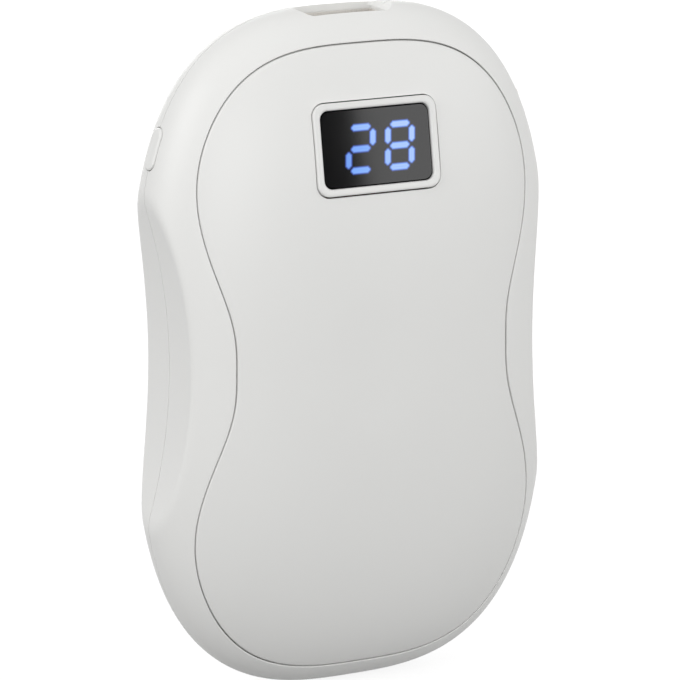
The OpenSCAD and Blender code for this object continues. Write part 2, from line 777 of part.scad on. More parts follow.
module battery_leads() color("#a02020") for (sx = [-1, 1])
  translate([sx * lead_x, board_y - seat_gap - lead_d / 2, guard_z])
    cylinder(d = lead_d, h = lead_top - guard_z);

// Formed sheet that follows the inside of a panel
module formed_sheet(inset, drop, t) {
  sheet_body([
    for (s = sheet_shares) sheet_ring(inset, s, drop, around_inside),
    for (s = reversed(sheet_shares)) sheet_ring(inset, s, drop + t, around_inside)
  ], [0, drop - body_t / 2, 0], [0, drop + t - body_t / 2, 0]);
}

module below_display() difference() {
  children();
  translate([-body_w / 2, -body_t, front_sheet_top]) cube([body_w, 2 * body_t, body_h]);
}

module insulation() difference() {
  sheet_body([
    for (s = foam_shares) sheet_ring(foam_inset, s, foam_drop, around_inside),
    for (s = reversed(foam_shares)) flat_ring(sheet_ring(foam_inset, s, 0, around_inside), foam_y)
  ], [0, foam_drop - body_t / 2, 0], [0, foam_y, 0]);
  translate([-body_w / 2, -body_t, foam_top]) cube([body_w, 2 * body_t, body_h]);
  at_shell_screws() bar_y(boss_d + 4 * seat_gap, -body_t, 0);
}

module front_heat_plate() color("#c8cacc")
  below_display() formed_sheet(sheet_inset, plate_drop, plate_t);

module back_heat_plate() color("#c8cacc")
  mirror([0, 1, 0]) formed_sheet(sheet_inset, plate_drop, plate_t);

module front_heater_film() color("#c07a20")
  below_display() formed_sheet(sheet_inset, film_drop, film_t);

module back_heater_film() color("#c07a20")
  mirror([0, 1, 0]) formed_sheet(sheet_inset, film_drop, film_t);

module front_insulation_pad() color("#55575a") insulation();

module back_insulation_pad() color("#55575a") mirror([0, 1, 0]) insulation();

// Lead that runs in from the front film and then up the front of the board
module bent_lead(d, x, z, from, top) {
  translate([x, 0, z]) {
    bar_y(d, from, board_y - seat_gap - d / 2);
    translate([0, board_y - seat_gap - d / 2, 0]) {
      sphere(d = d);
      cylinder(d = d, h = top - z);
    }
  }
}

function film_face(x, z) = foam_drop - dome_at(x, z);

module front_heater_leads() color("#b8342c") for (sx = [-1, 1])
  bent_lead(heater_lead_d, sx * heater_lead_x, heater_lead_z, film_face(heater_lead_x, heater_lead_z),
    heater_lead_top);

module back_heater_leads() color("#b8342c") for (sx = [-1, 1])
  translate([sx * back_lead_x, 0, back_lead_z])
    bar_y(heater_lead_d, board_back, -film_face(back_lead_x, back_lead_z + heater_lead_d));

module thermistor() color("#6b4a2a") {
  face = film_face(bead_x, heater_lead_z);
  translate([bead_x, face + bead_d / 2, heater_lead_z]) sphere(d = bead_d);
  for (side = [-1, 1])
    bent_lead(bead_lead_d, bead_x + side * bead_lead_pitch / 2, heater_lead_z, face + bead_d / 2,
      heater_lead_top);
}

front_shell();
back_shell();
front_panel();
back_panel();
display_bezel();
display_lens();
display_digits();
display_module();
display_board();
display_header();
display_screws();
power_button();
switch_body();
switch_plunger();
usb_a_shell();
usb_a_tongue();
usb_a_contacts();
usb_c_shell();
usb_c_tongue();
main_board();
controller_chip();
power_inductor();
capacitors();
board_screws();
battery_cell();
battery_protection_board();
battery_leads();
front_heat_plate();
back_heat_plate();
front_heater_film();
back_heater_film();
front_heater_leads();
back_heater_leads();
front_insulation_pad();
back_insulation_pad();
thermistor();
shell_screws();
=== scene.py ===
"""Looks of a rechargeable hand warmer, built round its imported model."""

import json
import math

import bmesh
import bpy
from mathutils import Matrix, Vector
from mathutils.bvhtree import BVHTree


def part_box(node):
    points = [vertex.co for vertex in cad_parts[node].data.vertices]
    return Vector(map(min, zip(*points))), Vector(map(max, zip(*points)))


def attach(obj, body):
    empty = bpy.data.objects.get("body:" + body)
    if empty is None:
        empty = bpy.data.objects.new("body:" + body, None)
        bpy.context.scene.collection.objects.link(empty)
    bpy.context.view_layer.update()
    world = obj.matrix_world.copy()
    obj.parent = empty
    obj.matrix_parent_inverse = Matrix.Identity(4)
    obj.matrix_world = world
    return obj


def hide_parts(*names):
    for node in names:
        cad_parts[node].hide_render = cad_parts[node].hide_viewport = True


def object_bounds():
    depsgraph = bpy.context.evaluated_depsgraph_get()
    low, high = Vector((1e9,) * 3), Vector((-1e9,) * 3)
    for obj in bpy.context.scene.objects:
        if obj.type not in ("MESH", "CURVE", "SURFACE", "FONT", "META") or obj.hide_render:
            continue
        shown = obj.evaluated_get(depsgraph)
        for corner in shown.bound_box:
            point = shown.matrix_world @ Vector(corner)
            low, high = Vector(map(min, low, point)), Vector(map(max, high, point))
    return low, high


bl_info = {
    "name": "Hand Warmer",
    "version": (1, 0, 0),
    "blender": (4, 5, 0),
    "location": "View3D > Sidebar > Hand Warmer",
    "description": "Builds the looks of a rechargeable hand warmer round its packed model",
    "category": "Object",
}

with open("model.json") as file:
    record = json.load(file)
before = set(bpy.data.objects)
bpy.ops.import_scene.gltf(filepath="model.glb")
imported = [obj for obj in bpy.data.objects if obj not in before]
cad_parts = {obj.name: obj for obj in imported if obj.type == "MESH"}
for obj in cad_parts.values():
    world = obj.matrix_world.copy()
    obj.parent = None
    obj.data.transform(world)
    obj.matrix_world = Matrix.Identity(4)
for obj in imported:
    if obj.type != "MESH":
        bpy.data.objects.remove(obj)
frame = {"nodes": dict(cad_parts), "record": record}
cad_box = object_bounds()

MM = 0.001

# Body, in millimetres as all sizes here: an oval with a domed face and a scoop in each side
BODY_W, BODY_H, BODY_T = 70.6, 110.2, 28.8
BODY_SQUARE = 2.93
DOME_FLAT, DOME_FULL = 2.5, 2.26
WAIST_RISE = 0.9
SCOOP_WAIST_W, SCOOP_R, SCOOP_SOFT = 59.6, 87.06, 0.8
WALL = 2.0
# The construction's facets lie inside the true curve, so the skin keeps this share of its size
FACET_LOSS = 0.9999

# Heating panel: an hourglass on a ledge of the shell, its middle flat at PANEL_FLAT under the dome's top
PANEL_W, PANEL_H, PANEL_T = 61.9, 100.7, 1.6
PANEL_SQUARE = 3.13
PANEL_WAIST, PANEL_WAIST_SPAN, PANEL_WAIST_FLAT = 0.248, 21.05, 3.08
PANEL_PEAR = 0.012
PANEL_FLAT = 0.101
LEDGE_W, LEDGE_T = 3.5, 1.5
SEAT = 0.12

# Seam: the share by which it is wider at the right side and narrower at the left
SEAM_LEAN = 0.15
# Parting line: a groove with a rounded lip, and half the gap that is left behind it
GROOVE_DEPTH, GROOVE_WALL, GROOVE_LIP = 0.6, 0.3, 0.07
TOUCH = 0.005

# Steps of the formed pieces, and of a quarter turn at an edge or corner
HOLLOW_SHARES = (0.0, 0.35, 0.7)
SKIN_RINGS, SKIN_CROWD = 36, 1.15
PANEL_RINGS = 30
PANEL_BACK_SHARES = (1.0, 0.94, 0.85, 0.7, 0.5, 0.25)
GROOVE_STEPS, EDGE_STEPS, LIP_STEPS = 3, 4, 5
SMALL_CORNER_STEPS, CORNER_STEPS, FINE_CORNER_STEPS = 8, 10, 12

# Display: a ring in a pocket of the front panel, round a window that lies below its face
DISPLAY_X, DISPLAY_Z = 0.5, 34.4
BEZEL_W, BEZEL_H, BEZEL_R = 21.0, 14.4, 2.0
BEZEL_BAND, BEZEL_PROUD = 1.15, 0.15
BEZEL_OUTER_ROUND, BEZEL_INNER_ROUND = 0.25, 0.35
BEZEL_CORNER_SHARE = 0.55
POCKET_GAP = 0.2
POCKET_RIGHT, POCKET_DOWN = 0.06, 0.03
POCKET_CUT = (-2.0, 4.0)
LENS_RECESS, LENS_T = 0.4, 1.2
LENS_CHAMFER, LENS_MARGIN = 0.16, 0.6

# Digits: seven segments each, on the window
DIGIT_H, DIGIT_W, DIGIT_PITCH = 7.6, 5.1, 6.7
DIGIT_SHIFT, DIGIT_DROP, DIGIT_PROUD = 0.6, 0.2, 0.02
SEGMENT_W, SEGMENT_END = 1.0, 0.3
TIP_SHARE = 0.225
MITRE_LIMIT = 0.5
# Corners of a digit in half widths and half heights, and the two corners that each segment joins
DIGIT_CORNERS = ((-1, 1), (1, 1), (1, 0), (1, -1), (-1, -1), (-1, 0))
SEGMENTS = ((0, 1), (1, 2), (2, 3), (3, 4), (4, 5), (5, 0), (5, 2))
# Segments that are lit in the left and the right digit, and how bright each is
LIT_SEGMENTS = {-1: {0: 0.91, 1: 0.93, 3: 0.85, 4: 0.75, 6: 0.81},
                1: {0: 1.0, 1: 1.0, 2: 0.96, 3: 0.95, 4: 0.93, 5: 0.97, 6: 0.97}}
# Rings of light round a segment: how far outside its outline, and the share of its light there
GLOW_RINGS = ((-0.36, 1.0), (-0.2, 1.0), (-0.06, 0.7), (0.04, 0.35), (0.12, 0.12), (0.2, 0.0))

# Button: a cap with rounded edges, a flange inside the wall and a stem to the switch
BUTTON_Z = 34.6
BUTTON_L, BUTTON_W, BUTTON_R = 6.4, 3.1, 1.3
BUTTON_PROUD, BUTTON_GAP, BUTTON_EDGE = 0.2, 0.15, 0.35
BUTTON_CORNER_SHARE = 0.8
CAP_INSETS = (1.4, 0.9)
FLANGE_W, FLANGE_T, FLANGE_GAP = 0.7, 0.8, 0.4
STEM_D = 2.4

# Sockets: the output socket in the top end and the charging socket in the right side
OUTPUT_W, OUTPUT_H, OUTPUT_MOUTH = 12.5, 5.12, 53.3
CHARGE_W, CHARGE_H = 8.34, 2.56
SOCKET_SHEET, SOCKET_GAP, SLOT_CORNER = 0.3, 0.15, 0.35
RECESS_FRONT, RECESS_BACK, RECESS_CORNER = 0.9, 0.15, 0.9
# Lead-in of the output socket: height over its mouth, and how far its ends have run out there
LEAD_IN = ((0.0, 0.0), (0.3, 0.05), (0.75, 0.5), (1.15, 1.1), (1.5, 1.9), (2.5, 4.6))
# Reach of the cutters
SLOT_DEPTH, SLOT_OVERRUN = 14, 0.4
CHARGE_CUT = (23.0, 60.0)
BUTTON_CUT = (-26.0, -60.0)

# Shading: edges sharper than this many degrees stay crisp, on most pieces, the ring and the window
SHARP, SHARP_RING, SHARP_WINDOW = 40, 50, 30
# A cut face keeps the uncut skin's normals where it lies this near, in metres, and turned alike
SKIN_NEAR = 2e-6
FACE_ALIKE, NORMAL_ALIKE = 0.9, 0.8
# A triangle under this area, in square metres, has no inside to blend over
SLIVER = 1e-16

# Camera of the photograph, in degrees, millimetres and pixels of its 680 px frame
FRAME_PX = 680
CAMERA_YAW = 25.2
CAMERA_PITCH = 14.3
CAMERA_ROLL = 0.24
CAMERA_DISTANCE = 608.8
CAMERA_FOCAL_PX = 3818.0
CAMERA_AIM_Z = 0.64
CAMERA_SHIFT_PX = (1.62, -0.43)
SENSOR_MM = 36.0

# Studio: floor, softboxes by side, and a small lamp that the window mirrors at its right side
FLOOR_HALF, FLOOR_GAP = 3000.0, 0.05
SOFTBOXES = {"front": (-200, -780, 80), "left": (-640, -100, 300), "right": (560, -420, 200),
             "back": (200, 800, 150)}
SOFTBOX_SIZE = (500, 500)
GLASS_STRIP_AT, GLASS_STRIP_SIZE = (363, -720, 126), (60, 70)
# How much of its white the floor shows by itself to the camera, over its lit colour
FLOOR_LIFT = 0.86

# Refraction of the plastics
ABS_IOR, PBT_IOR, NYLON_IOR, SILICONE_IOR, EPOXY_IOR, ACRYLIC_IOR = 1.53, 1.57, 1.53, 1.41, 1.55, 1.49


# Outlines

def superellipse(half_w, half_h, square, angle):
    """Radius of a superellipse at an angle."""
    across = abs(math.cos(angle) / half_w) ** square
    upward = abs(math.sin(angle) / half_h) ** square
    return (across + upward) ** (-1 / square)


def body_r(angle):
    """Radius of the body's outline, before the scoops."""
    return FACET_LOSS * superellipse(BODY_W / 2, BODY_H / 2, BODY_SQUARE, angle)


def panel_r(angle):
    """Radius of a panel's hourglass outline."""
    r = superellipse(PANEL_W / 2, PANEL_H / 2, PANEL_SQUARE, angle) * (1 - PANEL_PEAR * math.sin(angle))
    from_waist = abs(r * math.sin(angle) - WAIST_RISE) / PANEL_WAIST_SPAN
    return r * (1 - PANEL_WAIST * math.exp(-from_waist ** PANEL_WAIST_FLAT))


def dome(angle, r):
    """Height of the domed face over the parting plane."""
    share = min(1.0, r / body_r(angle))
    return FACET_LOSS * BODY_T / 2 * max(0.0, 1 - share ** DOME_FLAT) ** (1 / DOME_FULL)


def dome_at(x, z):
    return dome(math.atan2(z, x), math.hypot(x, z))


def side_x(z):
    """Half width of the body at a height, before the scoops."""
    return BODY_W / 2 * (1 - abs(2 * z / BODY_H) ** BODY_SQUARE) ** (1 / BODY_SQUARE)


def scooped(point, inset=0.0):
    """Draws a point in where a side scoop crosses it, with a soft edge."""
    x, y, z = point
    rise = math.sqrt(SCOOP_R ** 2 - (z - WAIST_RISE) ** 2)
    limit = FACET_LOSS * (SCOOP_WAIST_W / 2 + SCOOP_R - rise) - inset
    soft = max(SCOOP_SOFT - abs(abs(x) - limit), 0.0)
    return (math.copysign(min(abs(x), limit) - soft * soft / (4 * SCOOP_SOFT), x), y, z)


def face_point(angle, r, drop):
    """Point of the front face, or this far under it."""
    return (r * math.cos(angle), drop - dome(angle, r), r * math.sin(angle))


def directions(count):
    return [2 * math.pi * i / count for i in range(count)]


def quarter(steps):
    return [math.radians(90 * i / steps) for i in range(steps + 1)]


def rounded_outline(w, h, r, steps):
    """Rounded rectangle as points (u, v) round the origin."""
    r = min(r, w / 2, h / 2)
    points = []
    for u_side, v_side, start in ((1, 1, 0), (-1, 1, 90), (-1, -1, 180), (1, -1, 270)):
        for i in range(steps + 1):
            a = math.radians(start + 90 * i / steps)
            points.append((u_side * (w / 2 - r) + r * math.cos(a), v_side * (h / 2 - r) + r * math.sin(a)))
    return points


def grown(points, grow):
    """Convex outline moved out by a distance, each corner along its mitre."""
    after = points[1:] + points[:1]
    area = sum(p.x * q.y - q.x * p.y for p, q in zip(points, after))
    outward = 1 if area > 0 else -1
    moved = []
    for i, point in enumerate(points):
        along = (point - points[i - 1]).normalized()
        onward = (after[i] - point).normalized()
        normal = Vector((along.y, -along.x)) * outward
        next_normal = Vector((onward.y, -onward.x)) * outward
        mitre = (normal + next_normal).normalized()
        moved.append(point + mitre * grow / max(MITRE_LIMIT, mitre.dot(normal)))
    return moved


DISPLAY_DEPTH = dome_at(0, DISPLAY_Z)
DISPLAY_TILT = math.atan2(dome_at(0, DISPLAY_Z - 1) - dome_at(0, DISPLAY_Z + 1), 2)
BUTTON_TILT = math.atan2(side_x(BUTTON_Z - 1) - side_x(BUTTON_Z + 1), 2)


# Meshes

def make_object(name, verts, faces):
    """Smooth mesh object from points in millimetres, with its faces turned outward."""
    mesh = bpy.data.meshes.new(name)
    mesh.from_pydata([Vector(v) * MM for v in verts], [], faces)
    bm = bmesh.new()
    bm.from_mesh(mesh)
    bmesh.ops.recalc_face_normals(bm, faces=bm.faces)
    bm.to_mesh(mesh)
    bm.free()
    mesh.shade_smooth()
    obj = bpy.data.objects.new(name, mesh)
    bpy.context.scene.collection.objects.link(obj)
    return obj


def ring_mesh(rings, closed=False, caps=True):
    """Points and faces that join equal rings, closed round a section or capped at both ends."""
    size = len(rings[0])
    verts = [point for ring in rings for point in ring]
    faces = []
    for i in range(len(rings) if closed else len(rings) - 1):
        here = i * size
        there = (i + 1) % len(rings) * size
        for j in range(size):
            after = (j + 1) % size
            faces.append((here + j, here + after, there + after, there + j))
    if caps and not closed:
        faces.append(tuple(range(size)))
        faces.append(tuple(range(len(verts) - size, len(verts))))
    return verts, faces


def disc_mesh(rings, first_mid, last_mid):
    """The same with a fan to a middle point at each end."""
    verts, faces = ring_mesh(rings, caps=False)
    size = len(rings[0])
    first, last = len(verts), len(verts) + 1
    ring = len(verts) - size
    faces += [(first, (j + 1) % size, j) for j in range(size)]
    faces += [(last, ring + j, ring + (j + 1) % size) for j in range(size)]
    return verts + [first_mid, last_mid], faces


def mark_sharp(obj, degrees=SHARP):
    obj.data.set_sharp_from_angle(angle=math.radians(degrees))


def cut(obj, cutters):
    """Cuts closed meshes out of an object and keeps the smooth shading of its own skin."""
    before = obj.data.copy()
    for cutter in cutters:
        mod = obj.modifiers.new("cut", "BOOLEAN")
        mod.operation = "DIFFERENCE"
        mod.solver = "EXACT"
        mod.object = cutter
    depsgraph = bpy.context.evaluated_depsgraph_get()
    result = bpy.data.meshes.new_from_object(obj.evaluated_get(depsgraph))
    obj.modifiers.clear()
    obj.data = result
    result.name = obj.name
    keep_skin_normals(result, before)
    for cutter in cutters:
        bpy.data.objects.remove(cutter)


def keep_skin_normals(mesh, before):
    """Gives the faces left from the uncut mesh the smooth normals that they had there."""
    before.calc_loop_triangles()
    corners = before.corner_normals
    points = [v.co for v in before.vertices]
    tris = [tuple(t.vertices) for t in before.loop_triangles]
    loops = [tuple(t.loops) for t in before.loop_triangles]
    tree = BVHTree.FromPolygons(points, tris)
    normals = []
    for poly in mesh.polygons:
        flat = poly.normal.copy()
        spot, skin_normal, index, gap = tree.find_nearest(poly.center)
        own = index is not None and gap < SKIN_NEAR and skin_normal.dot(flat) > FACE_ALIKE
        for v in poly.vertices:
            normal = flat
            if own:
                spot, skin_normal, index, gap = tree.find_nearest(mesh.vertices[v].co)
                if index is not None and gap < SKIN_NEAR:
                    at_corners = [corners[i].vector for i in loops[index]]
                    normal = blend_normals([points[i] for i in tris[index]], at_corners, spot)
                    if normal.dot(flat) < NORMAL_ALIKE:
                        normal = flat
            normals.append(normal)
    mesh.shade_smooth()
    mesh.normals_split_custom_set(normals)


def blend_normals(triangle, normals, spot):
    """Normal at a spot of a triangle, from those at its corners."""
    a, b, c = triangle
    area = (b - a).cross(c - a).length
    if area < SLIVER:
        return normals[0]
    at_a = (b - spot).cross(c - spot).length / area
    at_b = (c - spot).cross(a - spot).length / area
    at_c = (a - spot).cross(b - spot).length / area
    return (normals[0] * at_a + normals[1] * at_b + normals[2] * at_c).normalized()


def place(obj, slot, replaces, body="root"):
    """Ties a piece to its body, its finish and the nodes that it stands for."""
    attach(obj, body)
    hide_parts(*replaces)
    obj.data.materials.clear()
    obj.data.materials.append(finish(slot))
    return obj


# Materials

def linear(hex_colour):
    """Linear RGBA of an sRGB hex colour."""
    values = [int(hex_colour[i:i + 2], 16) / 255 for i in (1, 3, 5)]
    return [v / 12.92 if v <= 0.04045 else ((v + 0.055) / 1.055) ** 2.4 for v in values] + [1.0]


def add_node(tree, kind, values=(), links=(), **settings):
    """Adds a node: settings are its properties, values its inputs, links (input, socket) pairs."""
    node = tree.nodes.new(kind)
    for key, value in settings.items():
        setattr(node, key, value)
    for key, value in dict(values).items():
        node.inputs[key].default_value = value
    for key, socket in dict(links).items():
        tree.links.new(socket, node.inputs[key])
    return node


def new_material(name):
    """A material with its node tree and its shader."""
    mat = bpy.data.materials.new(name)
    mat.use_nodes = True
    return mat, mat.node_tree, mat.node_tree.nodes["Principled BSDF"]


def moulded_plastic(name, colour, rough, grain_mm, grain_depth, ior=1.5):
    """Moulded thermoplastic: an even colour with the faint grain of an eroded mould."""
    mat, tree, bsdf = new_material(name)
    spot = add_node(tree, "ShaderNodeTexCoord").outputs["Object"]
    # A real mould's grain is too fine to show here, so it is drawn coarser, grain_mm wide
    drift_mm, tint, spread = 18, 0.02, 0.03
    grain = add_node(tree, "ShaderNodeTexNoise",
                     {"Scale": 1 / (grain_mm * MM), "Detail": 3.0, "Roughness": 0.55}, {"Vector": spot})
    drift = add_node(tree, "ShaderNodeTexNoise", {"Scale": 1 / (drift_mm * MM), "Detail": 2.0},
                     {"Vector": spot})
    base = linear(colour)
    darker = [c * (1 - tint) for c in base[:3]] + [1.0]
    mix = add_node(tree, "ShaderNodeMix", {6: darker, 7: base}, {0: drift.outputs["Fac"]}, data_type="RGBA")
    tree.links.new(mix.outputs[2], bsdf.inputs["Base Color"])
    roughness = add_node(tree, "ShaderNodeMapRange", {"To Min": rough - spread, "To Max": rough + spread},
                         {"Value": grain.outputs["Fac"]})
    tree.links.new(roughness.outputs["Result"], bsdf.inputs["Roughness"])
    bump = add_node(tree, "ShaderNodeBump", {"Strength": 1.0, "Distance": grain_depth * MM},
                    {"Height": grain.outputs["Fac"]})
    tree.links.new(bump.outputs["Normal"], bsdf.inputs["Normal"])
    bsdf.inputs["IOR"].default_value = ior
    return mat


def sheet_metal(name, colour, rough, line_mm, along="X"):
    """Rolled, drawn or plated metal: fine lines along one axis that vary its roughness."""
    mat, tree, bsdf = new_material(name)
    spot = add_node(tree, "ShaderNodeTexCoord").outputs["Object"]
    # Real lines are too fine to show here, so they are drawn coarser, line_mm wide
    stretch, tint, spread, depth_mm = 0.05, 0.14, 0.08, 0.01
    bsdf.inputs["Metallic"].default_value = 1.0
    lined = add_node(tree, "ShaderNodeMapping",
                     {"Scale": (stretch, 1, 1) if along == "X" else (1, 1, stretch)}, {"Vector": spot})
    lines = add_node(tree, "ShaderNodeTexNoise", {"Scale": 1 / (line_mm * MM), "Detail": 2.0},
                     {"Vector": lined.outputs["Vector"]})
    base = linear(colour)
    darker = [c * (1 - tint) for c in base[:3]] + [1.0]
    mix = add_node(tree, "ShaderNodeMix", {6: base, 7: darker}, {0: lines.outputs["Fac"]}, data_type="RGBA")
    tree.links.new(mix.outputs[2], bsdf.inputs["Base Color"])
    roughness = add_node(tree, "ShaderNodeMapRange", {"To Min": rough - spread, "To Max": rough + spread},
                         {"Value": lines.outputs["Fac"]})
    tree.links.new(roughness.outputs["Result"], bsdf.inputs["Roughness"])
    bump = add_node(tree, "ShaderNodeBump", {"Strength": 0.5, "Distance": depth_mm * MM},
                    {"Height": lines.outputs["Fac"]})
    tree.links.new(bump.outputs["Normal"], bsdf.inputs["Normal"])
    return mat


def solder_mask_board(name, colour, dark, pale):
    """Fibreglass circuit board: green solder mask with paler copper tracks under it."""
    mat, tree, bsdf = new_material(name)
    spot = add_node(tree, "ShaderNodeTexCoord").outputs["Object"]
    track_mm, depth_mm = 9, 0.03
    tracks = add_node(tree, "ShaderNodeTexBrick",
                      {"Color1": linear(colour), "Color2": linear(dark), "Mortar": linear(pale),
                       "Scale": 1 / (track_mm * MM), "Mortar Size": 0.03, "Brick Width": 0.7,
                       "Row Height": 0.25}, {"Vector": spot})
    tree.links.new(tracks.outputs["Color"], bsdf.inputs["Base Color"])
    bump = add_node(tree, "ShaderNodeBump", {"Strength": 0.4, "Distance": depth_mm * MM},
                    {"Height": tracks.outputs["Fac"]})
    tree.links.new(bump.outputs["Normal"], bsdf.inputs["Normal"])
    bsdf.inputs["Roughness"].default_value = 0.35
    bsdf.inputs["Coat Weight"].default_value = 0.4
    bsdf.inputs["Coat Roughness"].default_value = 0.2
    return mat


def etched_heater_film(name, colour, track_colour):
    """Polyimide film with a meandering etched track that shows through it."""
    mat, tree, bsdf = new_material(name)
    spot = add_node(tree, "ShaderNodeTexCoord").outputs["Object"]
    # In a metre the wave's angle grows by wave_factor times its scale, and a track is half a turn
    track_mm, wave_factor, half_turn = 4, 20, 3.14
    wave = add_node(tree, "ShaderNodeTexWave",
                    {"Scale": 1 / (track_mm * MM) / wave_factor * half_turn, "Distortion": 1.2,
                     "Detail": 1.0}, {"Vector": spot}, bands_direction="Z")
    mix = add_node(tree, "ShaderNodeMix", {6: linear(colour), 7: linear(track_colour)},
                   {0: wave.outputs["Fac"]}, data_type="RGBA")
    tree.links.new(mix.outputs[2], bsdf.inputs["Base Color"])
    bsdf.inputs["Roughness"].default_value = 0.25
    return mat


def closed_cell_foam(name, colour, pit_colour):
    """Closed cell foam: small cells that pit the surface."""
    mat, tree, bsdf = new_material(name)
    spot = add_node(tree, "ShaderNodeTexCoord").outputs["Object"]
    cell_mm, depth_mm = 0.9, 0.2
    cells = add_node(tree, "ShaderNodeTexVoronoi", {"Scale": 1 / (cell_mm * MM)}, {"Vector": spot})
    mix = add_node(tree, "ShaderNodeMix", {6: linear(colour), 7: linear(pit_colour)},
                   {0: cells.outputs["Distance"]}, data_type="RGBA")
    tree.links.new(mix.outputs[2], bsdf.inputs["Base Color"])
    bump = add_node(tree, "ShaderNodeBump", {"Strength": 1.0, "Distance": depth_mm * MM},
                    {"Height": cells.outputs["Distance"]})
    tree.links.new(bump.outputs["Normal"], bsdf.inputs["Normal"])
    bsdf.inputs["Roughness"].default_value = 0.95
    return mat


def lit_segment_resin(name, colour, strength):
    """Light guide resin over a blue-white LED: pale where it is bright, bluer at a segment's edge."""
    mat, tree, bsdf = new_material(name)
    dark, edge, brightest = "#0D1019", "#4560BC", "#A4C2FF"
    glow = add_node(tree, "ShaderNodeAttribute", attribute_name="glow")
    tones = add_node(tree, "ShaderNodeValToRGB", links={"Fac": glow.outputs["Fac"]})
    stops = tones.color_ramp.elements
    stops[0].color = linear(dark)
    stops[1].color = linear(brightest)
    for position, tone in ((0.4, edge), (0.84, colour)):
        stops.new(position).color = linear(tone)
    tree.links.new(tones.outputs["Color"], bsdf.inputs["Emission Color"])
    bsdf.inputs["Emission Strength"].default_value = strength
    bsdf.inputs["Base Color"].default_value = linear("#0A0B0E")
    bsdf.inputs["Roughness"].default_value = 0.055
    bsdf.inputs["Specular IOR Level"].default_value = 0.06
    return mat


def smoked_acrylic(name, colour):
    """Cast acrylic tinted almost black, with an anti-glare coat that leaves it little gloss."""
    mat, tree, bsdf = new_material(name)
    spot = add_node(tree, "ShaderNodeTexCoord").outputs["Object"]
    haze_mm, smooth, hazy = 5, 0.045, 0.065
    haze = add_node(tree, "ShaderNodeTexNoise", {"Scale": 1 / (haze_mm * MM), "Detail": 4.0},
                    {"Vector": spot})
    roughness = add_node(tree, "ShaderNodeMapRange", {"To Min": smooth, "To Max": hazy},
                         {"Value": haze.outputs["Fac"]})
    tree.links.new(roughness.outputs["Result"], bsdf.inputs["Roughness"])
    bsdf.inputs["Base Color"].default_value = linear(colour)
    bsdf.inputs["IOR"].default_value = ACRYLIC_IOR
    bsdf.inputs["Specular IOR Level"].default_value = 0.06
    return mat


